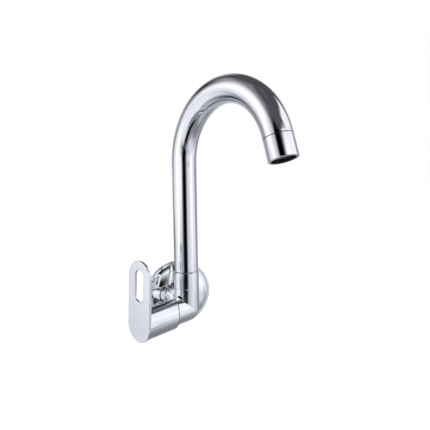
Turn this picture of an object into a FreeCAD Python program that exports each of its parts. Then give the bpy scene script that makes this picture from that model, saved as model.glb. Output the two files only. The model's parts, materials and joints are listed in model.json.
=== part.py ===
import FreeCAD, Part
import math
import os

V = FreeCAD.Vector

# Commercial wall faucet. Millimetres and degrees.
# The origin is on the inlet's axis in the wall plane, the room is at -Y and +Z is up.
# Three axes meet near one point, the junction: the riser's (vertical), the lever's (level, along
# the barrel) and, a little higher, the inlet's (along Y).

# where the axes lie
riser_to_wall = 32.0        # wall plane to the riser's axis
inlet_rise = 8.0            # inlet's axis above the lever's axis
lever_heading = -63.0       # lever's axis, turned from straight out of the wall, minus is to the left
lever_turn = 4.5            # the lever at rest, turned from its shut stop towards open
spout_heading = 20.0        # spout at rest, turned from straight out of the wall

# body casting
body_d = 25.0               # riser stub, barrel and the ball corner where they meet
barrel_rise = 0.6           # the cast barrel and the ball corner lie this far above the lever's axis
barrel_mouth = 27.0         # end of the barrel, from the riser's axis
riser_seam = 23.0           # seam under the spout collar, above the lever's axis
seam_bevel = 0.3            # bevel on each side of a seam
collar_wall = 1.85          # of the spout collar, round the nipple that it screws on
nipple_wall = 2.0
socket_depth = 20.0         # depth of the bore that the spout's stem turns in
thread_d = 20.955           # G 1/2 inlet thread, over its crests
thread_length = 16.0        # behind the wall plane
thread_bevel = 1.2
thread_relief_d = 18.8      # plain neck between the thread and the shoulder
thread_start = 1.0          # the thread starts this far in front of the wall plane
inlet_bore_d = 14.0
inlet_bore_end = 10.0       # floor of the inlet's bore, in front of the wall plane
cross_bore_d = 8.4          # drilling from the inlet's bore to the seat
cavity_d = 19.0             # barrel cavity round the headwork
seat_plane = 1.0            # seat face, from the riser's axis along the lever's
seat_bore_d = 9.0
seat_bore_depth = 7.0
port_d = 8.0                # drilling from the barrel cavity up to the spout's socket
port_offset = 4.0           # its axis in front of the riser's axis

# wall flange
flange_d = 70.4
flange_rim = 3.0            # height of the rim
flange_rim_round = 0.8
flange_lip = 2.6            # width of the flat lip inside the rim
flange_lip_step = 0.5       # the dome starts this much below the lip
flange_wall = 1.5
dome_height = 7.4           # top of the dome, at the hub
dome_bulge = 0.9            # rise of the dome's section over its chord
hub_wall = 1.5              # of the flange's hub, round the neck
hub_height = 7.9
hub_round = 0.3
neck_d = 31.4               # body's neck at the flange; it tapers to the body's diameter
neck_shoulder = 6.0         # the neck starts this far in front of the wall plane
neck_taper_end = 26.0       # and its taper ends here
neck_inset = 0.3            # the thin end lies this far inside the body's round

# spout
tube_d = 24.0
tube_wall = 1.2
tube_end = 1.7              # straight end of the tube past its bend
collar_top = 40.0           # top of the spout collar, above the lever's axis
collar_bevel = 0.8
collar_lip = 2.8            # thickness of the collar's top lip
tube_gap = 0.3              # the tube turns this far above the collar
bend_height = 147.0         # centre of the bend, above the lever's axis
bend_radius = 60.0
bend_angle = 162.0
stem_wall = 3.05
stem_clearance = 2.0        # under the spout's stem, in its socket
stem_plug = 10.0            # length of stem brazed into the tube
ring_section_d = 2.0        # spout O-rings
ring_depths = (14.0, 8.0)   # O-rings below the top of the socket
snap_ring_thick = 1.2
snap_ring_groove = 1.0      # depth of its groove in the stem
slip_ring_thick = 1.2

# nozzle, measured along the tube's end from the tube's face
nozzle_length = 18.3
nozzle_seam = 0.6           # visible groove between tube and nozzle ring
nozzle_round = 0.7
end_thread_d = 21.8         # M22 thread of the end bush
end_thread_end = 7.0
bush_plug = 5.0
bush_plug_gap = 0.5         # brazing gap round the plug of the end bush
bush_bore_d = 17.2
insert_d = 20.6
insert_end = 15.3           # outlet face of the insert
insert_wall = 1.8
outlet_d = 19.2             # mouth of the nozzle ring
washer_thick = 1.2
screen_thick = 0.6
screen_depth = 0.5          # the inlet screen lies this far inside the insert
grid_thick = 1.6
grid_pitch = 2.4
grid_hole_d = 1.8
screen_pitch = 1.5
screen_hole_d = 1.0
diffuser_holes = 8
diffuser_hole_d = 1.6

# lever, measured along its axis from the riser's axis
lever_face = 61.1           # front face of the lever's plate
plate_overhang = 0.8        # the plate is this much larger than the skirt all round
plate_top = 60.9            # top of the plate above the lever's axis
plate_thick = 2.7
plate_round = 0.8
slot_width = 11.4
slot_bottom = 23.0
slot_top = 52.6
slot_round = 1.0
skirt_wall = 1.25
skirt_gap = 0.15            # between the top of the barrel and the skirt
skirt_rear = 24.0           # rear edge of the skirt, level with the axis and below it
skirt_heel_radius = 21.0    # above the axis the rear edge runs back on an arc of this radius
skirt_round = 0.4
dust_ring_wall = 0.7        # rubber ring bonded to the rear edge of the skirt
dust_ring_height = 0.7      # it stands out of the rear edge by this much
hub_boss_d = 13.0           # boss inside the skirt that takes the spindle
hub_boss_length = 14.0
grub_d = 4.0
grub_length = 4.2
grub_place = 48.0
grub_key = 2.0              # across flats of the grub screw's socket
grub_key_depth = 2.0
grub_access_d = 4.6

# headwork, measured along the lever's axis from the riser's axis
disc_d = 14.7
disc_thick = 3.0
disc_port_angle = 80.0
disc_port_reach = 6.2       # outer radius of the ports
disc_port_root = 2.0        # inner radius of the ports
disc_lug_width = 2.0
disc_lug_reach = 8.6
seal_thick = 2.2
seal_bore_d = 9.2
bonnet_foot = 2.2
bonnet_skirt_d = 17.8
bonnet_window = 9.0         # width of its water windows
drive_thick = 3.0           # round drive at the foot of the spindle
drive_bar_width = 3.0
drive_bar_depth = 1.2
journal_d = 10.0
spindle_ring_d = 1.1        # section of the spindle's O-rings
spindle_ring_places = (21.0, 27.0)
gasket_width = 2.1
gasket_thick = 1.0
hex_flats = 20.0
hex_thick = 5.0
bonnet_neck_d = 14.0
bonnet_end = 37.2
clip_gap = 0.2
clip_thick = 0.8
clip_groove = 0.8
clip_d = 12.0
spline_d = 8.0
spline_count = 20
spline_depth = 0.35
spindle_end = 54.0

# clearances
running_gap = 0.05          # radial, shaft in bore
thread_gap = 0.05           # radial, screwed pieces
loose_gap = 0.3             # between pieces that pass each other freely


def frame(origin, x_dir, y_dir, z_dir):
    return FreeCAD.Placement(origin, FreeCAD.Rotation(x_dir, y_dir, z_dir, "ZYX"))


def heading(angle):
    """Level direction turned by this angle from straight out of the wall, plus is to the right."""
    a = math.radians(angle)
    return V(math.sin(a), -math.cos(a), 0)


def bend_point(angle):
    """Point of the spout's centre line, this far round its bend."""
    a = math.radians(angle)
    return V(bend_radius * (1 - math.cos(a)), 0, bend_height + bend_radius * math.sin(a))


UP = V(0, 0, 1)
JUNCTION = V(0, -riser_to_wall, -inlet_rise)
LEVER_AXIS = heading(lever_heading)
WALL = frame(V(0, 0, 0), V(1, 0, 0), UP, V(0, -1, 0))                 # z runs out of the wall
RISER = FreeCAD.Placement(JUNCTION, FreeCAD.Rotation())               # z runs up the riser
BARREL = frame(JUNCTION, UP.cross(LEVER_AXIS), UP, LEVER_AXIS)        # z runs along the barrel, y up
LEVER = BARREL.multiply(FreeCAD.Placement(V(0, 0, 0), FreeCAD.Rotation(V(0, 0, 1), -lever_turn)))
SPOUT = FreeCAD.Placement(JUNCTION, FreeCAD.Rotation(UP, spout_heading - 90.0))   # x along the spout
BEND_END = FreeCAD.Placement(bend_point(bend_angle), FreeCAD.Rotation(V(0, 1, 0), bend_angle))
NOZZLE = SPOUT.multiply(BEND_END).multiply(FreeCAD.Placement(V(0, 0, tube_end), FreeCAD.Rotation()))

tube_foot = collar_top + tube_gap
tube_bore_d = tube_d - 2 * tube_wall
bush_plug_d = tube_bore_d - 2 * bush_plug_gap
nipple_d = body_d - 2 * (collar_wall + thread_gap)
socket_d = nipple_d - 2 * nipple_wall
stem_d = socket_d - 2 * running_gap
stem_bore_d = stem_d - 2 * stem_wall
slip_ring_foot = collar_top - collar_lip - slip_ring_thick
snap_ring_foot = slip_ring_foot - clip_gap - snap_ring_thick
nipple_top = snap_ring_foot - 2 * loose_gap
socket_foot = nipple_top - socket_depth
stem_foot = socket_foot + stem_clearance
gasket_d = cavity_d + 2 * gasket_width
skirt_bore_d = body_d + 2 * (barrel_rise + skirt_gap)
skirt_d = skirt_bore_d + 2 * skirt_wall
plate_width = skirt_d + 2 * plate_overhang
plate_back = lever_face - plate_thick
fixed_disc_foot = seat_plane + seal_thick
moving_disc_foot = fixed_disc_foot + disc_thick
drive_foot = moving_disc_foot + disc_thick
drive_top = drive_foot + drive_thick
chamber_d = disc_d + 2 * running_gap
chamber_top = drive_top + clip_gap
hex_foot = barrel_mouth + gasket_thick
clip_foot = bonnet_end + clip_gap
insert_foot = end_thread_end + washer_thick


def rod(diameter, low, high, x=0.0, y=0.0):
    return Part.makeCylinder(diameter / 2, high - low, V(x, y, low))


def ring(outer, inner, low, high):
    return rod(outer, low, high).cut(rod(inner, low - 1, high + 1))


def box(x0, x1, y0, y1, z0, z1):
    return Part.makeBox(x1 - x0, y1 - y0, z1 - z0, V(x0, y0, z0))


def turned(profile):
    """Solid of revolution about z from (radius, height) corners; a corner of three values
    (radius, height, 'arc') is the middle point of an arc."""
    points = [(V(p[0], 0, p[1]), len(p) == 3) for p in profile]
    edges = []
    i = 0
    while i < len(points):
        here = points[i][0]
        after, is_arc = points[(i + 1) % len(points)]
        if is_arc:
            last = points[(i + 2) % len(points)][0]
            edges.append(Part.Arc(here, after, last).toShape())
            i += 2
        else:
            edges.append(Part.LineSegment(here, after).toShape())
            i += 1
    return Part.Face(Part.Wire(edges)).revolve(V(0, 0, 0), UP, 360)


def place(shape, where):
    moved = shape.copy()
    moved.Placement = where.multiply(moved.Placement)
    return moved


def fused(first, *others):
    return first.fuse(list(others)).removeSplitter()


def edges_at(shape, height):
    """Edges of a shape that lie wholly at one height."""
    return [e for e in shape.Edges
            if abs(e.BoundBox.ZMin - height) < 1e-6 and abs(e.BoundBox.ZMax - height) < 1e-6]


def o_ring(inner_radius, section_d, height):
    return Part.makeTorus(inner_radius + section_d / 2, section_d / 2, V(0, 0, height))


def hex_points(pitch, reach):
    """Points of a triangular grid that lie within a circle."""
    rows = int(reach / (pitch * math.sqrt(3) / 2)) + 1
    points = []
    for row in range(-rows, rows + 1):
        y = row * pitch * math.sqrt(3) / 2
        for column in range(-rows - 1, rows + 2):
            x = (column + (row % 2) / 2) * pitch
            if math.hypot(x, y) <= reach:
                points.append((x, y))
    return points


def pierced(diameter, low, high, pitch, hole_d):
    """Round plate with a triangular grid of holes."""
    plate = rod(diameter, low, high)
    reach = diameter / 2 - hole_d
    holes = [rod(hole_d, low - 1, high + 1, x, y) for x, y in hex_points(pitch, reach)]
    return plate.cut(holes)


def stadium(width, bottom_centre, top_centre, low, high):
    """Upright bar with round ends, along y between two end centres."""
    radius = width / 2
    bar = box(-radius, radius, bottom_centre, top_centre, low, high)
    return fused(bar, rod(width, low, high, 0, bottom_centre), rod(width, low, high, 0, top_centre))


def sector(radius_in, radius_out, angle, low, high):
    """Ring sector centred on +x."""
    wedge = Part.makeCylinder(radius_out, high - low, V(0, 0, low), UP, angle)
    wedge.rotate(V(0, 0, 0), UP, -angle / 2)
    return wedge.cut(rod(2 * radius_in, low - 1, high + 1))


def hex_prism(flats, low, high):
    radius = flats / math.sqrt(3)
    corners = [V(radius * math.cos(math.radians(60 * i)), radius * math.sin(math.radians(60 * i)), low)
               for i in range(7)]
    return Part.Face(Part.makePolygon(corners)).extrude(V(0, 0, high - low))


def body_casting():
    radius = body_d / 2
    thin = radius - neck_inset
    riser_stub = turned([(0, 0), (radius, 0), (radius, riser_seam - seam_bevel),
                         (radius - seam_bevel, riser_seam), (0, riser_seam)])
    nipple = rod(nipple_d, riser_seam - 1, nipple_top)
    barrel = rod(body_d, 0, barrel_mouth, 0, barrel_rise)
    neck = turned([(0, neck_shoulder), (neck_d / 2, neck_shoulder), (neck_d / 2, hub_height),
                   (thin, neck_taper_end), (thin, riser_to_wall), (0, riser_to_wall)])
    thread = turned([(0, -thread_length), (thread_d / 2 - thread_bevel, -thread_length),
                     (thread_d / 2, -thread_length + thread_bevel), (thread_d / 2, thread_start),
                     (thread_relief_d / 2, thread_start), (thread_relief_d / 2, neck_shoulder),
                     (0, neck_shoulder)])
    corner = Part.makeSphere(radius, V(0, 0, barrel_rise))
    casting = fused(place(riser_stub, RISER), place(nipple, RISER), place(corner, RISER),
                    place(barrel, BARREL), place(neck, WALL), place(thread, WALL))
    socket = rod(socket_d, socket_foot, nipple_top + 1)
    port = rod(port_d, 0, socket_foot + 1)
    port.translate(LEVER_AXIS * port_offset)
    cavity = rod(cavity_d, seat_plane, barrel_mouth + 1)
    seat_bore = rod(seat_bore_d, seat_plane - seat_bore_depth, seat_plane + 1)
    inlet_bore = rod(inlet_bore_d, -thread_length - 1, inlet_bore_end)
    start = WALL.multVec(V(0, 0, inlet_bore_end - cross_bore_d / 4))
    end = BARREL.multVec(V(0, 0, seat_plane - cross_bore_d / 2))
    cross_bore = Part.makeCylinder(cross_bore_d / 2, (end - start).Length, start, end - start)
    return casting.cut([place(socket, RISER), place(port, RISER), place(cavity, BARREL),
                        place(seat_bore, BARREL), place(inlet_bore, WALL), cross_bore])


def wall_flange():
    rim = flange_d / 2
    lip = rim - flange_lip
    dome_foot = flange_rim - flange_lip_step
    hole = thread_d / 2 + loose_gap
    seat = neck_d / 2 + loose_gap / 2
    hub = seat + hub_wall
    middle = (lip + hub) / 2
    dome_middle = (dome_foot + dome_height) / 2 + dome_bulge
    back = neck_shoulder - flange_wall
    under = hub - flange_wall
    dish = turned([(rim, 0), (rim, flange_rim), (lip, flange_rim), (lip, dome_foot),
                   (middle, dome_middle, "arc"), (hub, dome_height), (hub, hub_height),
                   (seat, hub_height), (seat, neck_shoulder), (hole, neck_shoulder), (hole, back),
                   (under, back), (middle, dome_middle - flange_wall, "arc"),
                   (lip - flange_wall / 2, dome_foot - flange_wall), (lip, 0)])
    rim_edge = [e for e in edges_at(dish, flange_rim) if e.Length > math.pi * (flange_d - 1)]
    dish = dish.makeFillet(flange_rim_round, rim_edge)
    hub_edge = [e for e in edges_at(dish, hub_height) if e.Length > math.pi * (2 * hub - 1)]
    return place(dish.makeFillet(hub_round, hub_edge), WALL)


def spout_collar():
    radius = body_d / 2
    bore = nipple_d / 2 + thread_gap
    lip_bore = stem_d / 2 + 2 * running_gap
    lip_foot = collar_top - collar_lip
    return place(turned([(bore, riser_seam), (radius - seam_bevel, riser_seam),
                         (radius, riser_seam + seam_bevel), (radius, collar_top - collar_bevel),
                         (radius - collar_bevel, collar_top), (lip_bore, collar_top),
                         (lip_bore, lip_foot), (bore, lip_foot)]), RISER)


def bent_rod(diameter, low):
    """Solid of the spout's path: straight up to the bend, round it and a short way on."""
    foot = V(0, 0, low)
    straight = Part.LineSegment(foot, bend_point(0)).toShape()
    bend = Part.Arc(bend_point(0), bend_point(bend_angle / 2), bend_point(bend_angle)).toShape()
    end = Part.LineSegment(bend_point(bend_angle), BEND_END.multVec(V(0, 0, tube_end))).toShape()
    section = Part.Wire(Part.makeCircle(diameter / 2, foot))
    return Part.Wire([straight, bend, end]).makePipeShell([section], True, False)


def spout_tube():
    return place(bent_rod(tube_d, tube_foot).cut(bent_rod(tube_bore_d, tube_foot)), SPOUT)


def spout_ferrule():
    plug_top = tube_foot + stem_plug
    stem = fused(rod(stem_d, stem_foot, plug_top), rod(tube_bore_d, tube_foot, plug_top))
    groove_root = stem_d - 2 * (ring_section_d - running_gap)
    grooves = [ring(stem_d + 2, groove_root, nipple_top - depth - 0.6 * ring_section_d,
                    nipple_top - depth + 0.6 * ring_section_d) for depth in ring_depths]
    grooves.append(ring(stem_d + 2, stem_d - 2 * snap_ring_groove, snap_ring_foot,
                        snap_ring_foot + snap_ring_thick))
    return place(stem.cut(grooves + [rod(stem_bore_d, stem_foot - 1, plug_top + 1)]), SPOUT)


def spout_o_ring(depth):
    inner = stem_d / 2 - (ring_section_d - running_gap)
    return place(o_ring(inner, ring_section_d - running_gap, nipple_top - depth), SPOUT)


def spout_snap_ring():
    outer = nipple_d - 2 * loose_gap
    top = snap_ring_foot + snap_ring_thick
    clip = ring(outer, stem_d - 2 * snap_ring_groove, snap_ring_foot, top)
    gap = box(0, outer, -1.5, 1.5, snap_ring_foot - 1, top + 1)
    return place(clip.cut(gap), SPOUT)


def spout_slip_ring():
    return place(ring(nipple_d - thread_gap, stem_d + 4 * running_gap, slip_ring_foot,
                      slip_ring_foot + slip_ring_thick), RISER)


def spout_end_bush():
    shoulder = tube_d - tube_wall
    bush = fused(rod(bush_plug_d, -bush_plug, 0), rod(shoulder, 0, nozzle_seam),
                 rod(end_thread_d, nozzle_seam, end_thread_end))
    return place(bush.cut(rod(bush_bore_d, -bush_plug - 1, end_thread_end + 1)), NOZZLE)


def aerator_shell():
    bore = end_thread_d / 2 + thread_gap
    seat = insert_d / 2 + thread_gap
    radius = tube_d / 2
    shell = turned([(bore, nozzle_seam), (radius, nozzle_seam), (radius, nozzle_length),
                    (outlet_d / 2, nozzle_length), (outlet_d / 2, insert_end), (seat, insert_end),
                    (seat, insert_foot + 1), (bore, insert_foot)])
    mouth = edges_at(shell, nozzle_length)
    return place(shell.makeFillet(nozzle_round, mouth), NOZZLE)


def aerator_washer():
    return place(ring(end_thread_d - thread_gap, bush_bore_d, end_thread_end, insert_foot), NOZZLE)


def aerator_insert():
    bore = insert_d - 2 * insert_wall
    housing = ring(insert_d, bore, insert_foot, insert_end)
    web_foot = (insert_foot + insert_end) / 2
    web = rod(insert_d - insert_wall, web_foot - 1, web_foot)
    ring_radius = bore / 4
    jets = [rod(diffuser_hole_d, web_foot - 2, web_foot + 1,
                ring_radius * math.cos(2 * math.pi * i / diffuser_holes),
                ring_radius * math.sin(2 * math.pi * i / diffuser_holes)) for i in range(diffuser_holes)]
    return place(fused(housing, web.cut(jets)), NOZZLE)


def aerator_inlet_screen():
    low = insert_foot + screen_depth
    return place(pierced(insert_d - 2 * insert_wall, low, low + screen_thick, screen_pitch,
                         screen_hole_d), NOZZLE)


def aerator_outlet_grid():
    return place(pierced(insert_d - 2 * insert_wall, insert_end - grid_thick, insert_end, grid_pitch,
                         grid_hole_d), NOZZLE)


def behind_skirt(rear):
    """Block behind a rear edge of the skirt, which is straight up to the axis and an arc above it."""
    reach = plate_width
    low = rear - 2 * skirt_heel_radius
    arc = skirt_heel_radius * math.sqrt(0.5)
    heel = V(-reach, arc, rear - skirt_heel_radius + arc)
    end = V(-reach, skirt_heel_radius, rear - skirt_heel_radius)
    level, under = V(-reach, 0, rear), V(-reach, -reach, rear)
    outside = Part.makePolygon([end, V(-reach, reach, end.z), V(-reach, reach, low), V(-reach, -reach, low),
                                under, level]).Edges
    side = Part.Wire([Part.Arc(level, heel, end).toShape()] + outside)
    return Part.Face(side).extrude(V(2 * reach, 0, 0))


def lever_dust_ring():
    middle = skirt_bore_d + skirt_wall
    ring_low = skirt_rear - skirt_heel_radius - dust_ring_height
    shell = ring(middle + dust_ring_wall, middle - dust_ring_wall, ring_low, skirt_rear)
    front = shell.cut(behind_skirt(skirt_rear - dust_ring_height))
    return place(front.common(behind_skirt(skirt_rear)).Solids[0], LEVER)


def lever_handle():
    radius = plate_width / 2
    plate = stadium(plate_width, 0, plate_top - radius, plate_back, lever_face)
    slot_radius = slot_width / 2
    slot = stadium(slot_width, slot_bottom + slot_radius, slot_top - slot_radius,
                   plate_back - 1, lever_face + 1)
    plate = plate.makeFillet(plate_round, edges_at(plate, lever_face) + edges_at(plate, plate_back))
    plate = plate.cut(slot)
    rims = [e for e in edges_at(plate, lever_face) + edges_at(plate, plate_back)
            if e.BoundBox.XLength < slot_width + 0.01 and e.BoundBox.YMin > slot_bottom - 0.01
            and e.BoundBox.YMax < slot_top + 0.01 and abs(e.BoundBox.Center.x) < slot_radius + 0.01]
    plate = plate.makeFillet(slot_round, rims)
    skirt = rod(skirt_d, skirt_rear - skirt_heel_radius, plate_back + plate_thick / 2)
    skirt = skirt.cut(behind_skirt(skirt_rear)).Solids[0]
    rear = [e for e in skirt.Edges if e.BoundBox.ZMax < skirt_rear + 0.01]
    skirt = skirt.makeFillet(min(skirt_round, skirt_wall / 2), rear)
    skirt = skirt.cut(rod(skirt_bore_d, skirt_rear - skirt_heel_radius - 1, plate_back))
    boss = rod(hub_boss_d, plate_back - hub_boss_length, plate_back + plate_thick / 2)
    socket = rod(spline_d + 2 * running_gap, plate_back - hub_boss_length - 1, spindle_end + 1)
    screw_hole = rod(grub_d + 2 * thread_gap, 0, hub_boss_d / 2 + 1)
    access = rod(grub_access_d, skirt_bore_d / 2 - 1, plate_width)
    down = FreeCAD.Placement(V(0, 0, grub_place), FreeCAD.Rotation(V(1, 0, 0), 90))
    handle = fused(plate, skirt, boss).cut([socket, place(screw_hole, down), place(access, down)])
    return place(handle, LEVER)


def lever_grub_screw():
    foot = spline_d / 2 + running_gap
    screw = rod(grub_d, foot, foot + grub_length)
    key = hex_prism(grub_key, foot + grub_length - grub_key_depth, foot + grub_length + 1)
    down = FreeCAD.Placement(V(0, 0, grub_place), FreeCAD.Rotation(V(1, 0, 0), 90))
    return place(place(screw.cut(key), down), LEVER)


def seat_seal():
    return place(ring(disc_d, seal_bore_d, seat_plane, fixed_disc_foot), BARREL)


def fixed_ceramic_disc():
    low, high = fixed_disc_foot, moving_disc_foot
    lug = box(-disc_lug_reach, disc_lug_reach, -disc_lug_width / 2, disc_lug_width / 2, low, high)
    disc = fused(rod(disc_d, low, high), lug.common(rod(2 * disc_lug_reach, low, high)))
    port = sector(disc_port_root, disc_port_reach, disc_port_angle, low - 1, high + 1)
    other = port.copy()
    other.rotate(V(0, 0, 0), UP, 180)
    disc = disc.cut([port, other])
    return place(disc, BARREL)


def moving_ceramic_disc():
    low, high = moving_disc_foot, drive_foot
    disc = rod(disc_d - 4 * running_gap, low, high)
    gap = sector(disc_port_root, disc_d, disc_port_angle, low - 1, high + 1)
    gap.rotate(V(0, 0, 0), UP, 90)
    other = gap.copy()
    other.rotate(V(0, 0, 0), UP, 180)
    half = drive_bar_width / 2 + running_gap
    groove = box(-disc_d, disc_d, -half, half, high - drive_bar_depth - running_gap, high + 1)
    return place(disc.cut([gap, other, groove]), LEVER)


def cartridge_bonnet():
    skirt = rod(bonnet_skirt_d, bonnet_foot, chamber_top)
    screwed = rod(cavity_d - 2 * thread_gap, chamber_top, hex_foot)
    hexagon = hex_prism(hex_flats, hex_foot, hex_foot + hex_thick)
    neck = rod(bonnet_neck_d, hex_foot + hex_thick, bonnet_end)
    bonnet = fused(skirt, screwed, hexagon, neck)
    chamber = rod(chamber_d, bonnet_foot - 1, chamber_top)
    bore = rod(journal_d + 2 * running_gap, chamber_top - 1, bonnet_end + 1)
    half = bonnet_window / 2
    window = box(-half, half, -bonnet_skirt_d, bonnet_skirt_d, moving_disc_foot + 0.4, drive_top)
    notch_half = disc_lug_width / 2 + running_gap
    notch = box(-bonnet_skirt_d, bonnet_skirt_d, -notch_half, notch_half, bonnet_foot - 1,
                moving_disc_foot + running_gap)
    return place(bonnet.cut([chamber, bore, window, notch]), BARREL)


def bonnet_gasket():
    return place(ring(gasket_d, cavity_d, barrel_mouth, hex_foot), BARREL)


def cartridge_spindle():
    drive = rod(disc_d - 4 * running_gap, drive_foot, drive_top)
    bar = box(-disc_port_reach, disc_port_reach, -drive_bar_width / 2, drive_bar_width / 2,
              drive_foot - drive_bar_depth, drive_foot)
    journal = rod(journal_d, drive_top, bonnet_end)
    splined = rod(spline_d, bonnet_end, spindle_end)
    spindle = fused(drive, bar, journal, splined)
    root = journal_d - 2 * spindle_ring_d
    cuts = [ring(journal_d + 2, root, s - 0.6 * spindle_ring_d, s + 0.6 * spindle_ring_d)
            for s in spindle_ring_places]
    cuts.append(ring(spline_d + 2, spline_d - 2 * clip_groove, clip_foot, clip_foot + clip_thick))
    spline_foot = clip_foot + clip_thick + 1
    for i in range(spline_count):
        angle = 2 * math.pi * i / spline_count
        reach = spline_d / 2 + spline_depth / 2
        cuts.append(rod(3 * spline_depth, spline_foot, spindle_end + 1,
                        reach * math.cos(angle), reach * math.sin(angle)))
    return place(spindle.cut(cuts), LEVER)


def spindle_o_ring(where):
    return place(o_ring(journal_d / 2 - spindle_ring_d, spindle_ring_d, where), LEVER)


def spindle_clip():
    clip = ring(clip_d, spline_d - 2 * clip_groove, clip_foot, clip_foot + clip_thick)
    mouth = spline_d / 2 - clip_groove - running_gap
    gap = box(-mouth, mouth, -clip_d, 0, clip_foot - 1, clip_foot + clip_thick + 1)
    return place(clip.cut(gap), LEVER)


NODES = {
    "body_casting": body_casting(),
    "wall_flange": wall_flange(),
    "spout_collar": spout_collar(),
    "spout_tube": spout_tube(),
    "spout_ferrule": spout_ferrule(),
    "spout_o_ring_lower": spout_o_ring(ring_depths[0]),
    "spout_o_ring_upper": spout_o_ring(ring_depths[1]),
    "spout_snap_ring": spout_snap_ring(),
    "spout_slip_ring": spout_slip_ring(),
    "spout_end_bush": spout_end_bush(),
    "aerator_shell": aerator_shell(),
    "aerator_washer": aerator_washer(),
    "aerator_insert": aerator_insert(),
    "aerator_inlet_screen": aerator_inlet_screen(),
    "aerator_outlet_grid": aerator_outlet_grid(),
    "lever_handle": lever_handle(),
    "lever_grub_screw": lever_grub_screw(),
    "lever_dust_ring": lever_dust_ring(),
    "seat_seal": seat_seal(),
    "fixed_ceramic_disc": fixed_ceramic_disc(),
    "moving_ceramic_disc": moving_ceramic_disc(),
    "cartridge_bonnet": cartridge_bonnet(),
    "bonnet_gasket": bonnet_gasket(),
    "cartridge_spindle": cartridge_spindle(),
    "spindle_o_ring_inner": spindle_o_ring(spindle_ring_places[0]),
    "spindle_o_ring_outer": spindle_o_ring(spindle_ring_places[1]),
    "spindle_clip": spindle_clip(),
}

os.makedirs("parts", exist_ok=True)
for name, shape in NODES.items():
    shape.exportStep("parts/" + name + ".step")
    size = shape.BoundBox
    print(name, "valid" if shape.isValid() else "NOT VALID", "solids", len(shape.Solids),
          "volume", round(shape.Volume, 1),
          "box", [round(v, 1) for v in (size.XMin, size.YMin, size.ZMin, size.XMax, size.YMax, size.ZMax)])
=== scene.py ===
import json
import math

import bmesh
import bpy
from bpy.props import FloatProperty, FloatVectorProperty, PointerProperty
from mathutils import Matrix, Vector


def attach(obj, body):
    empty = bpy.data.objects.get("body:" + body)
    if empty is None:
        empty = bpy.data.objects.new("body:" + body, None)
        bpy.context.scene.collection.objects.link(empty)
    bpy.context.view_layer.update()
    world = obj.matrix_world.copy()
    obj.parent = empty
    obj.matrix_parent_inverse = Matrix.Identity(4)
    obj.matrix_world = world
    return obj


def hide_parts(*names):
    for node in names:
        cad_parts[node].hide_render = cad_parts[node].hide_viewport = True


bl_info = {
    "name": "Wall Faucet",
    "version": (1, 0, 0),
    "blender": (4, 5, 0),
    "location": "3D View > Sidebar > Wall Faucet",
    "description": "Finishes and studio for a wall-mounted swan-neck faucet",
    "category": "Object",
}

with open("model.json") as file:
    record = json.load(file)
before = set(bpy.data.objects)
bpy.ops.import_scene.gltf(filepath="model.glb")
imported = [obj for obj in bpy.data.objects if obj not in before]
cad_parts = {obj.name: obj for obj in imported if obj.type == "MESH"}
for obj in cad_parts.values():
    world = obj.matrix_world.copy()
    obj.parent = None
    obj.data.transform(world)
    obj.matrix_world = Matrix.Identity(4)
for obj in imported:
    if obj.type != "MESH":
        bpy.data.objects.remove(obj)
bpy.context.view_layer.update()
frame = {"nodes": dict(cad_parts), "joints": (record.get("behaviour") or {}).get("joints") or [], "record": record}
NODES = frame["nodes"]
JOINTS = {joint["name"]: joint for joint in frame["joints"]}
MOUNTS = {mount["name"]: mount for mount in frame["record"]["mounts"]}

# Axes of the tap: a direction and a point for each, in metres.
RISER_AXIS = Vector((0.0, 0.0, 1.0))
RISER_ORIGIN = Vector(JOINTS["spout_swivel"]["pos_m"])
LEVER_AXIS = Vector([-abs(part) for part in JOINTS["lever_turn"]["axis"]])  # out of the barrel
LEVER_ORIGIN = Vector(JOINTS["lever_turn"]["pos_m"])
NOZZLE_AXIS = Vector(MOUNTS["nozzle_outside"]["axis"])
NOZZLE_ORIGIN = Vector(MOUNTS["nozzle_outside"]["pos_m"])
INLET_AXIS = Vector(MOUNTS["inlet_thread"]["axis"])
INLET_ORIGIN = Vector(MOUNTS["inlet_thread"]["pos_m"])

MM = 0.001
INLET_RADIUS = MOUNTS["inlet_thread"]["dims"]["r_mm"] * MM
INLET_REACH = 5 * MM        # the thread starts no further than this in front of the wall
CREST_TOLERANCE = 0.02 * MM  # the thread's points lie this near to its crest radius
MERGE_DISTANCE = 0.001 * MM
PAINT_EDGE = 0.1 * MM       # soft edge between two finishes on one piece
BORE_MARGIN = 1.5 * MM      # the ring's bore lies within this of the outlet grid's edge
SEAM_SHADE_BELOW = 0.9 * MM    # painted shade of the nozzle's seam, on each side of the ring's edge
SEAM_SHADE_ABOVE = 0.4 * MM
SEAM_SHADE_ROUGHNESS = 0.65


# ---------------------------------------------------------------- settings


def colour(name, description, default):
    return FloatVectorProperty(name=name, description=description, default=(*default, 1.0),
                               size=4, min=0.0, max=1.0, subtype="COLOR")


def length(name, description, default, low, high):
    return FloatProperty(name=name, description=description, default=default, min=low, max=high,
                         unit="LENGTH")


def share(name, description, default):
    return FloatProperty(name=name, description=description, default=default, min=0.0, max=1.0,
                         subtype="FACTOR")


class PlatingSettings(bpy.types.PropertyGroup):
    tone: colour("Chrome", "Colour of the chrome plate", (0.90, 0.91, 0.935))
    tone_deep: colour("Chrome, deep", "Colour where the plate is a little thicker",
                      (0.86, 0.87, 0.905))
    roughness: share("Polish", "Roughness of the polished plate", 0.01)
    haze: share("Haze", "Roughness that wiping marks add", 0.025)
    # The bore colour is painted shade: a dark tone standing for the shade inside the nozzle ring.
    bore_shade_tone: colour("Bore", "Colour of the thin plate inside the nozzle ring",
                      (0.055, 0.055, 0.06))
    bore_roughness: share("Bore polish", "Roughness inside the nozzle ring", 0.45)


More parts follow.
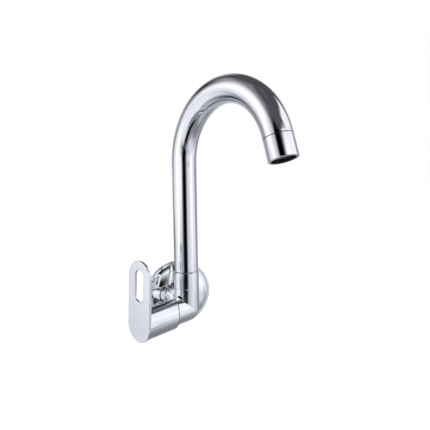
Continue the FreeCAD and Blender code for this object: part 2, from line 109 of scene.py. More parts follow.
class FittingSettings(bpy.types.PropertyGroup):
    brass: colour("Brass", "Colour of the bare turned brass", (0.78, 0.60, 0.28))
    rubber: colour("Rubber", "Colour of the O-rings and washers", (0.028, 0.028, 0.030))
    fibre: colour("Fibre", "Colour of the pressed fibre gasket", (0.30, 0.09, 0.06))
    acetal: colour("Acetal", "Colour of the slip ring", (0.84, 0.84, 0.81))
    plastic: colour("Plastic", "Colour of the aerator's moulded pieces", (0.05, 0.05, 0.055))
    steel: colour("Steel", "Colour of the stainless pieces", (0.58, 0.58, 0.59))
    ceramic: colour("Ceramic", "Colour of the lapped discs", (0.88, 0.87, 0.84))
    mark_pitch: length("Turning marks", "Pitch of the tool marks on turned brass",
                       0.00035, 0.0001, 0.002)


class ThreadSettings(bpy.types.PropertyGroup):
    pitch: length("Pitch", "Pitch of the inlet thread, 14 to the inch", 0.001814, 0.0005, 0.005)
    depth: length("Depth", "Depth of the inlet thread", 0.001162, 0.0002, 0.003)
    crest: length("Crest", "Width of the thread's crest", 0.0003, 0.0001, 0.001)
    plate: colour("Thread plate", "Colour of the thin dull plate on the thread",
                  (0.62, 0.62, 0.63))
    plate_roughness: share("Thread polish", "Roughness of the thread's plate", 0.26)


class StudioSettings(bpy.types.PropertyGroup):
    floor_drop: length("Floor drop", "Height of the inlet above the floor", 0.62, 0.1, 3.0)
    floor_size: length("Floor size", "Side of the square floor", 14.0, 1.0, 50.0)
    floor_tone: colour("Floor", "Colour of the pale floor", (0.90, 0.90, 0.91))
    floor_glow: share("Floor glow", "Light that blends the floor into the backdrop", 0.75)
    backdrop: colour("Backdrop", "Colour of the backdrop behind the tap", (1.0, 1.0, 1.0))
    lens: FloatProperty(name="Lens", description="Focal length on a 36 mm wide sensor",
                        default=33.33, min=10.0, max=200.0, unit="CAMERA")
    camera_place: FloatVectorProperty(name="Camera", description="Place of the camera",
                                      default=(-0.11249, -0.40723, 0.13227), size=3,
                                      unit="LENGTH")


# ---------------------------------------------------------------- node helpers


def add(tree, kind, **values):
    """New node, with its own options given by name."""
    node = tree.nodes.new(kind)
    for name, value in values.items():
        setattr(node, name, value)
    return node


def feed(tree, target, source):
    """Links an output socket to an input, or sets the input's own value."""
    if isinstance(source, bpy.types.NodeSocket):
        tree.links.new(source, target)
    else:
        target.default_value = source


def fill(tree, node, **sources):
    """Feeds a node's inputs by name, with _ for a space, and returns its outputs."""
    for name, source in sources.items():
        feed(tree, node.inputs[name.replace("_", " ")], source)
    return node.outputs


def math_node(tree, operation, *values):
    node = add(tree, "ShaderNodeMath", operation=operation)
    for socket, value in zip(node.inputs, values):
        feed(tree, socket, value)
    return node.outputs[0]


def vector_node(tree, operation, *values):
    node = add(tree, "ShaderNodeVectorMath", operation=operation)
    for socket, value in zip(node.inputs, values):
        feed(tree, socket, value)
    return node.outputs["Value" if operation == "LENGTH" else "Vector"]


def split(tree, vector):
    """The x, y and z of a vector."""
    return fill(tree, add(tree, "ShaderNodeSeparateXYZ"), Vector=vector)


def span(tree, value, low, high, start=0.0, end=1.0, smooth=True):
    """Takes low..high to start..end, and stays at the ends outside."""
    node = add(tree, "ShaderNodeMapRange",
               interpolation_type="SMOOTHSTEP" if smooth else "LINEAR")
    return fill(tree, node, Value=value, From_Min=low, From_Max=high, To_Min=start,
                To_Max=end)["Result"]


def blend_colour(tree, mask, first, second):
    node = add(tree, "ShaderNodeMix", data_type="RGBA")
    for index, value in ((0, mask), (6, first), (7, second)):   # factor and both colours
        feed(tree, node.inputs[index], value)
    return node.outputs[2]


def noise(tree, vector, scale, detail):
    return fill(tree, add(tree, "ShaderNodeTexNoise"), Vector=vector, Scale=scale,
                Detail=detail)["Fac"]


def bump(tree, height, strength, distance):
    return fill(tree, add(tree, "ShaderNodeBump"), Height=height, Strength=strength,
                Distance=distance)["Normal"]


def new_group(name, inputs, outputs):
    """Empty shader node group; a socket is (name, kind, default)."""
    tree = bpy.data.node_groups.new(name, "ShaderNodeTree")
    for direction, sockets in (("INPUT", inputs), ("OUTPUT", outputs)):
        for label, kind, default in sockets:
            socket = tree.interface.new_socket(name=label, in_out=direction,
                                               socket_type="NodeSocket" + kind)
            if default is not None:
                socket.default_value = default
    return tree, add(tree, "NodeGroupInput").outputs, add(tree, "NodeGroupOutput").inputs


def use_group(tree, name, **values):
    node = add(tree, "ShaderNodeGroup", node_tree=bpy.data.node_groups[name])
    return fill(tree, node, **values)


def new_material(name):
    """Returns a material, its tree, its shader's inputs and Object coordinates."""
    material = bpy.data.materials.new(name)
    material.use_nodes = True
    tree = material.node_tree
    shader = tree.nodes["Principled BSDF"].inputs
    return material, tree, shader, add(tree, "ShaderNodeTexCoord").outputs["Object"]


def shaded(tone, factor):
    """The same colour, lighter or darker."""
    return (*(min(1.0, factor * part) for part in tone[:3]), 1.0)


def along(tree, vector, axis, origin):
    """Coordinates with z along an axis of the tap and zero at a point of it."""
    moved = vector_node(tree, "SUBTRACT", vector, tuple(origin))
    turn = axis.to_track_quat("Z", "Y").to_matrix().to_euler("XYZ")
    node = add(tree, "ShaderNodeVectorRotate", rotation_type="EULER_XYZ", invert=True)
    return fill(tree, node, Vector=moved, Rotation=turn)["Vector"]


# ---------------------------------------------------------------- shared effects


def build_wiping_marks():
    """Faint patches and fine wiping lines, as handled plate shows."""
    tree, source, result = new_group(
        "wiping_marks", [("Vector", "Vector", None), ("Patch Scale", "Float", 35.0)],
        [("Mask", "Float", None), ("Tone", "Float", None)])
    cloud = noise(tree, source["Vector"], source["Patch Scale"], detail=4.0)
    patches = span(tree, cloud, low=0.52, high=0.72)
    stretched = vector_node(tree, "MULTIPLY", source["Vector"], (1.0, 1.0, 0.12))
    lines = span(tree, noise(tree, stretched, scale=900.0, detail=1.0), low=0.62, high=0.78)
    base = 0.35     # share of a patch's haze that its lines don't make
    feed(tree, result["Mask"],
         math_node(tree, "MULTIPLY", patches, math_node(tree, "ADD", lines, base)))
    feed(tree, result["Tone"], noise(tree, source["Vector"], scale=22.0, detail=1.0))


def build_turning_marks():
    """Fine grooves round z, uneven as a tool leaves them."""
    tree, source, result = new_group(
        "turning_marks", [("Vector", "Vector", None), ("Pitch", "Float", 0.0004)],
        [("Height", "Float", None), ("Tone", "Float", None)])
    height = split(tree, source["Vector"])["Z"]
    wander = noise(tree, source["Vector"], scale=60.0, detail=1.0)
    drift = math_node(tree, "MULTIPLY", wander, source["Pitch"])
    turns = math_node(tree, "DIVIDE", math_node(tree, "ADD", height, drift), source["Pitch"])
    wave = math_node(tree, "SINE", math_node(tree, "MULTIPLY", turns, 2.0 * math.pi))
    bands = fill(tree, add(tree, "ShaderNodeTexNoise", noise_dimensions="1D"), W=height,
                 Scale=2600.0)
    feed(tree, result["Height"],
         math_node(tree, "MULTIPLY", math_node(tree, "ADD", wave, 1.0), 0.5))
    feed(tree, result["Tone"], bands["Fac"])


def build_mould_grain():
    """Fine grain of moulded or pressed pieces."""
    tree, source, result = new_group(
        "mould_grain", [("Vector", "Vector", None), ("Scale", "Float", 2500.0)],
        [("Height", "Float", None), ("Tone", "Float", None)])
    feed(tree, result["Height"], noise(tree, source["Vector"], source["Scale"], detail=3.0))
    feed(tree, result["Tone"], noise(tree, source["Vector"], scale=140.0, detail=3.0))


# ---------------------------------------------------------------- finishes


def mirror_chrome(name, settings, bore=0.0):
    """Polished plate; inside this radius of the nozzle's axis it is dull, and darkened with painted shade."""
    material, tree, shader, place = new_material(name)
    marks = use_group(tree, "wiping_marks", Vector=place)
    tone = blend_colour(tree, marks["Tone"], settings.tone, settings.tone_deep)
    gloss = span(tree, marks["Mask"], low=0.0, high=1.0, start=settings.roughness,
                 end=settings.roughness + settings.haze, smooth=False)
    # Painted shade: inside the bore the plate is darkened, standing for the shade in the nozzle's mouth.
    if bore:
        flat = vector_node(tree, "MULTIPLY", along(tree, place, NOZZLE_AXIS, NOZZLE_ORIGIN),
                           (1.0, 1.0, 0.0))
        inside = span(tree, vector_node(tree, "LENGTH", flat), low=bore + PAINT_EDGE, high=bore)
        tone = blend_colour(tree, inside, tone, settings.bore_shade_tone)
        gloss = math_node(tree, "MAXIMUM", gloss,
                          math_node(tree, "MULTIPLY", inside, settings.bore_roughness))
    feed(tree, shader["Base Color"], tone)
    feed(tree, shader["Roughness"], gloss)
    ripple = noise(tree, place, scale=160.0, detail=1.0)
    feed(tree, shader["Normal"], bump(tree, ripple, strength=0.02, distance=0.0002))
    shader["Metallic"].default_value = 1.0
    return material


def turned_brass(name, settings, axis, origin, seam_shade=None):
    """Turned brass; between two places along its axis it is painted dark, as shade in the nozzle's seam."""
    material, tree, shader, place = new_material(name)
    turned = along(tree, place, axis, origin)
    marks = use_group(tree, "turning_marks", Vector=turned, Pitch=settings.mark_pitch)
    tone = blend_colour(tree, marks["Tone"], settings.brass, shaded(settings.brass, 0.78))
    gloss = span(tree, marks["Tone"], low=0.3, high=0.7, start=0.18, end=0.32)
    # Painted shade: between the two places the bush is dark and dull, in the rubber's colour, standing for the
    # shade deep in the nozzle's seam.
    if seam_shade:
        height = split(tree, turned)["Z"]
        below = span(tree, height, low=seam_shade[0], high=seam_shade[0] - PAINT_EDGE)
        above = span(tree, height, low=seam_shade[1], high=seam_shade[1] + PAINT_EDGE)
        bare = math_node(tree, "MAXIMUM", below, above)
        tone = blend_colour(tree, bare, settings.rubber, tone)
        polish = math_node(tree, "SUBTRACT", SEAM_SHADE_ROUGHNESS, gloss)
        gloss = math_node(tree, "SUBTRACT", SEAM_SHADE_ROUGHNESS,
                          math_node(tree, "MULTIPLY", bare, polish))
        feed(tree, shader["Metallic"], bare)
    else:
        shader["Metallic"].default_value = 1.0
    feed(tree, shader["Base Color"], tone)
    feed(tree, shader["Roughness"], gloss)
    feed(tree, shader["Normal"], bump(tree, marks["Height"], strength=0.35, distance=0.00004))
    return material


def satin_plate(settings, mark_pitch):
    """Thin dull plate of the inlet thread, with the cutter's marks under it."""
    material, tree, shader, place = new_material("satin_plate")
    marks = use_group(tree, "turning_marks", Vector=along(tree, place, INLET_AXIS, INLET_ORIGIN),
                      Pitch=mark_pitch)
    warm = (*(part * tint for part, tint in zip(settings.plate[:3], (0.93, 0.89, 0.80))), 1.0)
    feed(tree, shader["Base Color"], blend_colour(tree, marks["Tone"], settings.plate, warm))
    feed(tree, shader["Roughness"],
         span(tree, marks["Tone"], low=0.3, high=0.7, start=settings.plate_roughness,
              end=settings.plate_roughness + 0.12))
    feed(tree, shader["Normal"], bump(tree, marks["Height"], strength=0.2, distance=0.00003))
    shader["Metallic"].default_value = 1.0
    return material


def moulded(name, tone, dusty, roughness, grain, strength):
    """Moulded or pressed finish: fine grain with a slightly uneven colour."""
    material, tree, shader, place = new_material(name)
    marks = use_group(tree, "mould_grain", Vector=place, Scale=grain)
    feed(tree, shader["Base Color"], blend_colour(tree, marks["Tone"], tone, dusty))
    feed(tree, shader["Roughness"],
         span(tree, marks["Tone"], low=0.3, high=0.7, start=roughness - 0.06,
              end=roughness + 0.06))
    feed(tree, shader["Normal"], bump(tree, marks["Height"], strength, distance=0.0001))
    return material, shader


def black_rubber(settings):
    return moulded("black_rubber", settings.rubber, shaded(settings.rubber, 2.2),
                   roughness=0.52, grain=1800.0, strength=0.35)[0]


def white_acetal(settings):
    material, shader = moulded("white_acetal", settings.acetal, shaded(settings.acetal, 0.93),
                               roughness=0.38, grain=3000.0, strength=0.15)
    shader["Subsurface Weight"].default_value = 0.15
    return material


def grey_plastic(settings):
    return moulded("grey_plastic", settings.plastic, shaded(settings.plastic, 1.5),
                   roughness=0.40, grain=2600.0, strength=0.25)[0]


def white_ceramic(settings):
    material, shader = moulded("white_ceramic", settings.ceramic, shaded(settings.ceramic, 0.94),
                               roughness=0.16, grain=4000.0, strength=0.08)
    shader["Coat Weight"].default_value = 0.3
    return material


def gasket_fibre(settings):
    """Red-brown sheet with short pale fibres pressed into it."""
    material, tree, shader, place = new_material("gasket_fibre")
    cells = fill(tree, add(tree, "ShaderNodeTexVoronoi", feature="DISTANCE_TO_EDGE"),
                 Vector=vector_node(tree, "MULTIPLY", place, (1.0, 0.35, 0.6)), Scale=2200.0)
    fibres = span(tree, cells["Distance"], low=0.02, high=0.12, start=1.0, end=0.0)
    pale = (*(min(1.0, 2.0 * part + 0.06) for part in settings.fibre[:3]), 1.0)
    feed(tree, shader["Base Color"], blend_colour(tree, fibres, settings.fibre, pale))
    feed(tree, shader["Normal"], bump(tree, fibres, strength=0.4, distance=0.00006))
    shader["Roughness"].default_value = 0.78
    return material


def stainless_steel(settings):
    """Bare steel with a fine drawn grain."""
    material, tree, shader, place = new_material("stainless_steel")
    grain = noise(tree, vector_node(tree, "MULTIPLY", place, (1.0, 1.0, 8.0)), scale=1500.0,
                  detail=3.0)
    feed(tree, shader["Base Color"],
         blend_colour(tree, grain, settings.steel, shaded(settings.steel, 1.25)))
    feed(tree, shader["Roughness"], span(tree, grain, low=0.3, high=0.7, start=0.22, end=0.38))
    feed(tree, shader["Normal"], bump(tree, grain, strength=0.2, distance=0.00003))
    shader["Metallic"].default_value = 1.0
    return material


def paint(material, *nodes):
    """Puts one finish on these pieces."""
    for name in nodes:
        slots = NODES[name].data.materials
        slots.clear()
        slots.append(material)
        for face in NODES[name].data.polygons:
            face.material_index = 0


# ---------------------------------------------------------------- inlet thread


def build_thread_ridge():
    """Geometry tree: a ridge that winds round z, fading out at both ends."""
    tree = bpy.data.node_groups.new("thread_ridge", "GeometryNodeTree")
    sockets = tree.interface
    for label in ("Root Radius", "Pitch", "Turns", "Height", "Foot", "Crest"):
        sockets.new_socket(name=label, in_out="INPUT", socket_type="NodeSocketFloat")
    sockets.new_socket(name="Finish", in_out="INPUT", socket_type="NodeSocketMaterial")
    sockets.new_socket(name="Ridge", in_out="OUTPUT", socket_type="NodeSocketGeometry")
    source = add(tree, "NodeGroupInput").outputs
    path = fill(tree, add(tree, "GeometryNodeCurveSpiral"), Resolution=72,
                Rotations=source["Turns"], Start_Radius=source["Root Radius"],
                End_Radius=source["Root Radius"],
                Height=math_node(tree, "MULTIPLY", source["Turns"], source["Pitch"]))
    upright = fill(tree, add(tree, "GeometryNodeSetCurveNormal", mode="Z_UP"),
                   Curve=path["Curve"])
    section = fill(tree, add(tree, "GeometryNodeCurvePrimitiveQuadrilateral", mode="TRAPEZOID"),
                   Height=source["Height"], Bottom_Width=source["Foot"],
                   Top_Width=source["Crest"], Offset=0.0)
    lift = fill(tree, add(tree, "ShaderNodeCombineXYZ"),
                X=math_node(tree, "MULTIPLY", source["Height"], -0.5))
    # The section's foot goes on the path and its crest points away from the axis.
    standing = fill(tree, add(tree, "GeometryNodeTransform"), Geometry=section["Curve"],
                    Translation=lift["Vector"], Rotation=(0.0, 0.0, math.pi / 2))
    run_in, run_out, thin_end = 0.05, 0.08, 0.02    # shares of the path, and of the section
    part = add(tree, "GeometryNodeSplineParameter").outputs["Factor"]
    rest = math_node(tree, "SUBTRACT", 1.0, part)
    height = math_node(tree, "MULTIPLY", span(tree, part, low=0.0, high=run_in),
                       span(tree, rest, low=0.0, high=run_out))
    sweep = fill(tree, add(tree, "GeometryNodeCurveToMesh"), Curve=upright["Curve"],
                 Profile_Curve=standing["Geometry"],
                 Scale=math_node(tree, "MAXIMUM", height, thin_end), Fill_Caps=True)
    real = fill(tree, add(tree, "GeometryNodeRealizeInstances"), Geometry=sweep["Mesh"])
    finish = fill(tree, add(tree, "GeometryNodeSetMaterial"), Geometry=real["Geometry"],
                  Material=source["Finish"])
    fill(tree, add(tree, "NodeGroupOutput"), Ridge=finish["Geometry"])
    return tree


def baked(name, tree, inputs):
    """Plain mesh object of what a geometry tree makes from these inputs."""
    piece = bpy.data.objects.new(name, bpy.data.meshes.new(name + "_start"))
    bpy.context.scene.collection.objects.link(piece)
    modifier = piece.modifiers.new("shape", "NODES")
    modifier.node_group = tree
    for item in tree.interface.items_tree:
        if item.in_out == "INPUT":
            modifier[item.identifier] = inputs[item.name]
    depsgraph = bpy.context.evaluated_depsgraph_get()
    mesh = bpy.data.meshes.new_from_object(piece.evaluated_get(depsgraph))
    piece.modifiers.clear()
    piece.data = mesh
    mesh.name = name
    return piece


def cut_to_root(name, depth):
    """Copy of the casting, merged, its thread cut to the root; also the thread's two ends."""
    piece = bpy.data.objects.new(name, NODES["body_casting"].data.copy())
    bpy.context.scene.collection.objects.link(piece)
    mesh = piece.data
    # Merging mixes the corners' own normals, so an attribute carries them past it.
    kept = mesh.attributes.new("exact_normal", "FLOAT_VECTOR", "CORNER")
    kept.data.foreach_set(
        "vector", [part for corner in mesh.corner_normals for part in corner.vector])
    shape = bmesh.new()
    shape.from_mesh(mesh)
    bmesh.ops.remove_doubles(shape, verts=shape.verts, dist=MERGE_DISTANCE)
    crest = [v for v in shape.verts if v.co.y > -INLET_REACH
             and abs(math.hypot(v.co.x, v.co.z) - INLET_RADIUS) < CREST_TOLERANCE]
    if not crest:
        raise RuntimeError("the casting has no inlet thread")
    ends = min(v.co.y for v in crest), max(v.co.y for v in crest)
    for vert in crest:
        vert.co.x *= 1 - depth / INLET_RADIUS
        vert.co.z *= 1 - depth / INLET_RADIUS
    shape.to_mesh(mesh)
    shape.free()
    normals = [tuple(item.vector) for item in mesh.attributes["exact_normal"].data]
    mesh.attributes.remove(mesh.attributes["exact_normal"])
    mesh.shade_smooth()
    mesh.normals_split_custom_set(normals)
    return piece, ends


# ---------------------------------------------------------------- operators: finishes


class FAUCET_OT_shared_effects(bpy.types.Operator):
    """Build the node groups that several finishes share"""

    bl_idname = "faucet.shared_effects"
    bl_label = "Shared effects"

    def execute(self, context):
        build_wiping_marks()
        build_turning_marks()
        build_mould_grain()
        return {"FINISHED"}


class FAUCET_OT_plated_pieces(bpy.types.Operator):
    """Give body, flange, collar, spout, nozzle ring and lever their chrome plate"""

    bl_idname = "faucet.plated_pieces"
    bl_label = "Plated pieces"

    def execute(self, context):
        settings = context.scene.faucet_plating
        paint(mirror_chrome("mirror_chrome", settings), "body_casting", "wall_flange",
              "spout_collar", "spout_tube", "lever_handle")
        grid = NODES["aerator_outlet_grid"].data.vertices
        reach = max((v.co - NOZZLE_ORIGIN).cross(NOZZLE_AXIS).length for v in grid)
        # The ring's bore is darkened with painted shade.
        paint(mirror_chrome("mirror_chrome_ring_bore_shade", settings, bore=reach + BORE_MARGIN),
              "aerator_shell")
        return {"FINISHED"}


class FAUCET_OT_inlet_thread(bpy.types.Operator):
    """Cut the inlet thread: the casting goes down to the root and a winding ridge stands on it"""

    bl_idname = "faucet.inlet_thread"
    bl_label = "Inlet thread"

    def execute(self, context):
        settings = context.scene.faucet_thread
        casting, (front, back) = cut_to_root("body_casting_threaded", settings.depth)
        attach(casting, "body")
        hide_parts("body_casting")
        buried = 0.05 * settings.depth      # the ridge's foot is sunk into the root
        finish = satin_plate(settings, context.scene.faucet_fittings.mark_pitch)
        ridge = baked("inlet_thread_ridge", build_thread_ridge(), {
            "Root Radius": INLET_RADIUS - settings.depth - buried,
            "Pitch": settings.pitch,
            "Turns": (back - front) / settings.pitch - 1,
            "Height": settings.depth + buried,
            "Foot": settings.pitch - settings.crest,
            "Crest": settings.crest,
            "Finish": finish})
        turn = INLET_AXIS.to_track_quat("Z", "Y").to_matrix().to_4x4()
        start = INLET_ORIGIN + INLET_AXIS * (front + settings.pitch / 2)
        ridge.data.transform(Matrix.Translation(start) @ turn)
        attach(ridge, "body")
        return {"FINISHED"}


class FAUCET_OT_brass_pieces(bpy.types.Operator):
    """Give the turned brass pieces their tool marks, round each one's own axis"""

    bl_idname = "faucet.brass_pieces"
    bl_label = "Brass pieces"

    def execute(self, context):
        settings = context.scene.faucet_fittings
        paint(turned_brass("turned_brass_riser", settings, RISER_AXIS, RISER_ORIGIN),
              "spout_ferrule")
        ring = NODES["aerator_shell"].data.vertices
        seam = min((v.co - NOZZLE_ORIGIN).dot(NOZZLE_AXIS) for v in ring)
        # The bush is painted dark where the nozzle's seam shows it: painted shade of the gap.
        paint(turned_brass("turned_brass_nozzle", settings, NOZZLE_AXIS, NOZZLE_ORIGIN,
                           seam_shade=(seam - SEAM_SHADE_BELOW, seam + SEAM_SHADE_ABOVE)),
              "spout_end_bush")
        paint(turned_brass("turned_brass_headwork", settings, LEVER_AXIS, LEVER_ORIGIN),
              "cartridge_bonnet", "cartridge_spindle")
        return {"FINISHED"}


class FAUCET_OT_seals_and_discs(bpy.types.Operator):
    """Finish the seals, the slip ring, the gasket and the ceramic discs"""

    bl_idname = "faucet.seals_and_discs"
    bl_label = "Seals and discs"

    def execute(self, context):
        settings = context.scene.faucet_fittings
        paint(black_rubber(settings), "spout_o_ring_lower", "spout_o_ring_upper",
              "spindle_o_ring_inner", "spindle_o_ring_outer", "aerator_washer", "seat_seal",
              "lever_dust_ring")
        paint(white_acetal(settings), "spout_slip_ring")
        paint(gasket_fibre(settings), "bonnet_gasket")
        paint(white_ceramic(settings), "fixed_ceramic_disc", "moving_ceramic_disc")
        return {"FINISHED"}


class FAUCET_OT_aerator_and_clips(bpy.types.Operator):
    """Finish the aerator's plastic pieces and the stainless screen, clips and screw"""

    bl_idname = "faucet.aerator_and_clips"
    bl_label = "Aerator and clips"

    def execute(self, context):
        settings = context.scene.faucet_fittings
        paint(grey_plastic(settings), "aerator_insert", "aerator_outlet_grid")
        paint(stainless_steel(settings), "spout_snap_ring", "aerator_inlet_screen",
              "spindle_clip", "lever_grub_screw")
        return {"FINISHED"}


# ---------------------------------------------------------------- studio

# Soft boxes and flags of the studio, laid over one another in this order. Angles are in degrees:
# azimuth from straight in front of the tap, plus to the right, and elevation from the horizon.
# The edge is soft over this angle to both sides, and the slant is azimuth per elevation.
# name: (azimuth, elevation, half width, half height, edge, slant, brightness)
STUDIO = {
    "room": (0, 0, 181, 91, 1, 0.00, 0.79),
    "ceiling": (-35, 65, 95, 65, 2, 0.21, 0.23),
    "dark_ceiling_corner": (110, 66, 132, 44, 20, 1.31, 0.08),
    "low_room_right": (152, -64, 101, 47, 5, 0.47, 0.49),
    "left_soft_box": (-87, -1, 36, 41, 20, -0.74, 1.16),
    "left_soft_box_foot": (-84, -35, 50, 28, 11, -2.34, 0.97),
    "right_soft_box": (8, 22, 28, 24, 12, 1.78, 1.60),
    "right_white_wall": (50, 10, 36, 24, 11, 0.73, 1.21),
    "grey_behind_right": (115, -9, 20, 30, 23, -0.46, 0.26),
    "black_flag": (-16, -7, 25, 27, 22, 0.12, 0.01),
    "black_flag_top": (-40, 22, 17, 14, 6, 0.63, 0.00),
    "black_table_edge": (-29, -73, 89, 36, 11, 1.46, 0.26),
    "dark_left_rim": (-161, -13, 24, 26, 18, -0.39, 0.00),
    "dark_left_rim_top": (-169, 30, 41, 18, 19, 0.16, 0.01),
    "bright_arc_behind": (163, 23, 18, 12, 21, 0.00, 1.56),
    "black_stripe_low": (-29, -47, 15, 24, 4, 0.33, 0.01),
    "pale_front_card": (24, -19, 15, 27, 15, -0.09, 0.80),
    "dark_wedge": (-42, 67, 43, 32, 10, -1.47, 0.09),
    "black_arc_skirt": (161, 31, 4, 17, 1, -0.83, 0.03),
    "grey_skirt_under": (87, -54, 57, 8, 6, 1.42, 0.25),
    "far_right_grey": (171, 12, 4, 34, 12, 0.01, 0.69),
    "left_far_lamp": (-166, -1, 4, 16, 22, 0.16, 1.16),
    "right_grey_screen": (72, -7, 9, 8, 1, -0.12, 0.51),
    "right_bright_strip": (65, 5, 10, 24, 10, -0.54, 0.96),
    "black_slit_low": (-41, -17, 8, 2, 1, 0.59, 0.04),
    "left_grey_screen": (-60, -14, 11, 7, 12, -0.07, 0.50),
    "left_rim_shade": (-138, 7, 14, 3, 7, 0.07, 0.30),
    "plate_top_card": (-115, -6, 13, 9, 1, 0.05, 0.91),
    "left_grey_high": (-74, 15, 12, 7, 15, 0.03, 0.58),
    "left_rim_dark": (-131, -16, 13, 8, 4, -0.47, 0.25),
    "right_high_lamp": (71, 39, 27, 12, 3, 0.46, 1.02),
    "small_left_lamp": (-48, 5, 6, 5, 8, 0.31, 0.98),
    "low_front_grey": (3, -22, 18, 3, 7, 2.50, 0.53),
    "low_right_grey": (66, -21, 3, 5, 4, 0.01, 0.46),
    "black_flag_core": (-23, -8, 13, 14, 9, 0.08, 0.00),
    "black_slit_high": (-40, -11, 6, 2, 12, 0.57, 0.05),
    "plate_card": (-124, -20, 11, 8, 12, -0.05, 0.95),
}
COOL = (0.935, 0.95, 1.035)         # tint of the dim cards
LAMP_FROM, LAMP_FULL = 0.95, 1.15   # a card turns into a lamp between these brightnesses
LAMP_TONE = 1.02


def build_studio_card():
    """Mask of one soft box or flag, in degrees of azimuth and elevation."""
    labels = ("Azimuth", "Elevation", "Middle", "Level", "Half Width", "Half Height", "Edge",
              "Slant")
    tree, source, result = new_group("studio_card", [(label, "Float", 0.0) for label in labels],
                                     [("Mask", "Float", None)])
    rise = math_node(tree, "SUBTRACT", source["Elevation"], source["Level"])
    lean = math_node(tree, "MULTIPLY", rise, source["Slant"])
    turn = math_node(tree, "SUBTRACT", source["Azimuth"], source["Middle"])
    turn = math_node(tree, "SUBTRACT", turn, lean)
    turn = math_node(tree, "WRAP", turn, 180.0, -180.0)
    outer = math_node(tree, "MULTIPLY", source["Edge"], -1.0)
    masks = []
    for offset, half in ((turn, source["Half Width"]), (rise, source["Half Height"])):
        inside = math_node(tree, "SUBTRACT", half, math_node(tree, "ABSOLUTE", offset))
        masks.append(span(tree, inside, low=outer, high=source["Edge"]))
    feed(tree, result["Mask"], math_node(tree, "MULTIPLY", *masks))


def card_light(brightness):
    """Colour of a card: cool when it is dim, neutral when it is a lamp's own face."""
    lamp = min(max((brightness - LAMP_FROM) / (LAMP_FULL - LAMP_FROM), 0.0), 1.0)
    return (*(brightness * (tint * (1 - lamp) + LAMP_TONE * lamp) for tint in COOL), 1.0)


def studio_world(backdrop):
    """World that lights the tap with the cards, in front of an even backdrop."""
    world = bpy.data.worlds.new("soft_studio")
    world.use_nodes = True
    tree = world.node_tree
    tree.nodes.clear()
    direction = add(tree, "ShaderNodeTexCoord").outputs["Generated"]
    x, y, z = split(tree, vector_node(tree, "NORMALIZE", direction))
    front = math_node(tree, "MULTIPLY", y, -1.0)
    azimuth = math_node(tree, "DEGREES", math_node(tree, "ARCTAN2", x, front))
    elevation = math_node(tree, "DEGREES", math_node(tree, "ARCSINE", z))
    light = (0.0, 0.0, 0.0, 1.0)
    for middle, level, half_width, half_height, edge, slant, brightness in STUDIO.values():
        card = use_group(tree, "studio_card", Azimuth=azimuth, Elevation=elevation,
                         Middle=middle, Level=level, Half_Width=half_width,
                         Half_Height=half_height, Edge=edge, Slant=slant)
        light = blend_colour(tree, card["Mask"], light, card_light(brightness))
    glow = fill(tree, add(tree, "ShaderNodeBackground"), Color=light)
    plain = fill(tree, add(tree, "ShaderNodeBackground"), Color=backdrop)
    seen = add(tree, "ShaderNodeLightPath").outputs["Is Camera Ray"]
    mix = add(tree, "ShaderNodeMixShader")
    for socket, source in zip(mix.inputs, (seen, glow[0], plain[0])):
        feed(tree, socket, source)
    fill(tree, add(tree, "ShaderNodeOutputWorld"), Surface=mix.outputs[0])
    return world


def pale_floor(settings):
    half, level = settings.floor_size / 2, -settings.floor_drop
    corners = [(-half, -half, level), (half, -half, level), (half, half, level),
               (-half, half, level)]
    mesh = bpy.data.meshes.new("floor")
    mesh.from_pydata(corners, [], [(0, 1, 2, 3)])
    floor = bpy.data.objects.new("floor", mesh)
    bpy.context.scene.collection.objects.link(floor)
    material, tree, shader, place = new_material("floor_paint")
    patches = noise(tree, place, scale=3.0, detail=2.0)
    feed(tree, shader["Base Color"],
         blend_colour(tree, patches, settings.floor_tone, shaded(settings.floor_tone, 0.985)))
    shader["Roughness"].default_value = 0.9
    shader["Emission Color"].default_value = (1.0, 1.0, 1.0, 1.0)
    shader["Emission Strength"].default_value = settings.floor_glow
    mesh.materials.append(material)
    floor.visible_glossy = False


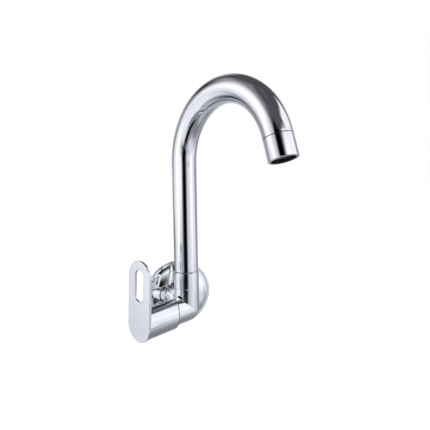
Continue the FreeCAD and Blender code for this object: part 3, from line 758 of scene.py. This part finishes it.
def photo_camera(settings):
    """Camera at the photograph's place; the three directions are its own, in the tap's frame."""
    forward = Vector((0.35600998, 0.92743771, -0.11452593))
    right = Vector((0.93307137, -0.3595246, -0.01094904))
    down = Vector((-0.05132945, -0.1029629, -0.99335992))
    camera = bpy.data.objects.new("camera", bpy.data.cameras.new("camera"))
    bpy.context.scene.collection.objects.link(camera)
    camera.data.sensor_width = 36.0
    camera.data.lens = settings.lens
    camera.data.clip_start = 0.01
    turn = Matrix((right, -down, -forward)).transposed().to_4x4()
    camera.matrix_world = Matrix.Translation(settings.camera_place) @ turn
    bpy.context.scene.camera = camera


class FAUCET_OT_studio(bpy.types.Operator):
    """Build the floor, the soft light and the camera"""

    bl_idname = "faucet.studio"
    bl_label = "Studio"

    def execute(self, context):
        settings = context.scene.faucet_studio
        build_studio_card()
        context.scene.world = studio_world(tuple(settings.backdrop))
        pale_floor(settings)
        photo_camera(settings)
        context.scene.view_settings.view_transform = "Standard"
        return {"FINISHED"}


# ---------------------------------------------------------------- panel and registration

STEPS = (FAUCET_OT_shared_effects, FAUCET_OT_plated_pieces, FAUCET_OT_inlet_thread,
         FAUCET_OT_brass_pieces, FAUCET_OT_seals_and_discs, FAUCET_OT_aerator_and_clips,
         FAUCET_OT_studio)
SETTINGS = {"faucet_plating": PlatingSettings, "faucet_fittings": FittingSettings,
            "faucet_thread": ThreadSettings, "faucet_studio": StudioSettings}


class FAUCET_PT_pieces(bpy.types.Panel):
    """Steps and sizes of the faucet's finish"""

    bl_idname = "FAUCET_PT_pieces"
    bl_label = "Wall Faucet"
    bl_space_type = "VIEW_3D"
    bl_region_type = "UI"
    bl_category = "Wall Faucet"

    def draw(self, context):
        for step in STEPS:
            self.layout.operator(step.bl_idname)
        for name, kind in SETTINGS.items():
            box = self.layout.box()
            for item in kind.__annotations__:
                box.prop(getattr(context.scene, name), item)


def register():
    for item in (*SETTINGS.values(), *STEPS, FAUCET_PT_pieces):
        bpy.utils.register_class(item)
    for name, kind in SETTINGS.items():
        setattr(bpy.types.Scene, name, PointerProperty(type=kind))


def unregister():
    for name in SETTINGS:
        delattr(bpy.types.Scene, name)
    for item in reversed((*SETTINGS.values(), *STEPS, FAUCET_PT_pieces)):
        bpy.utils.unregister_class(item)


def main():
    register()
    for step in STEPS:
        group, name = step.bl_idname.split(".")
        getattr(getattr(bpy.ops, group), name)()


if __name__ == "__main__":
    main()
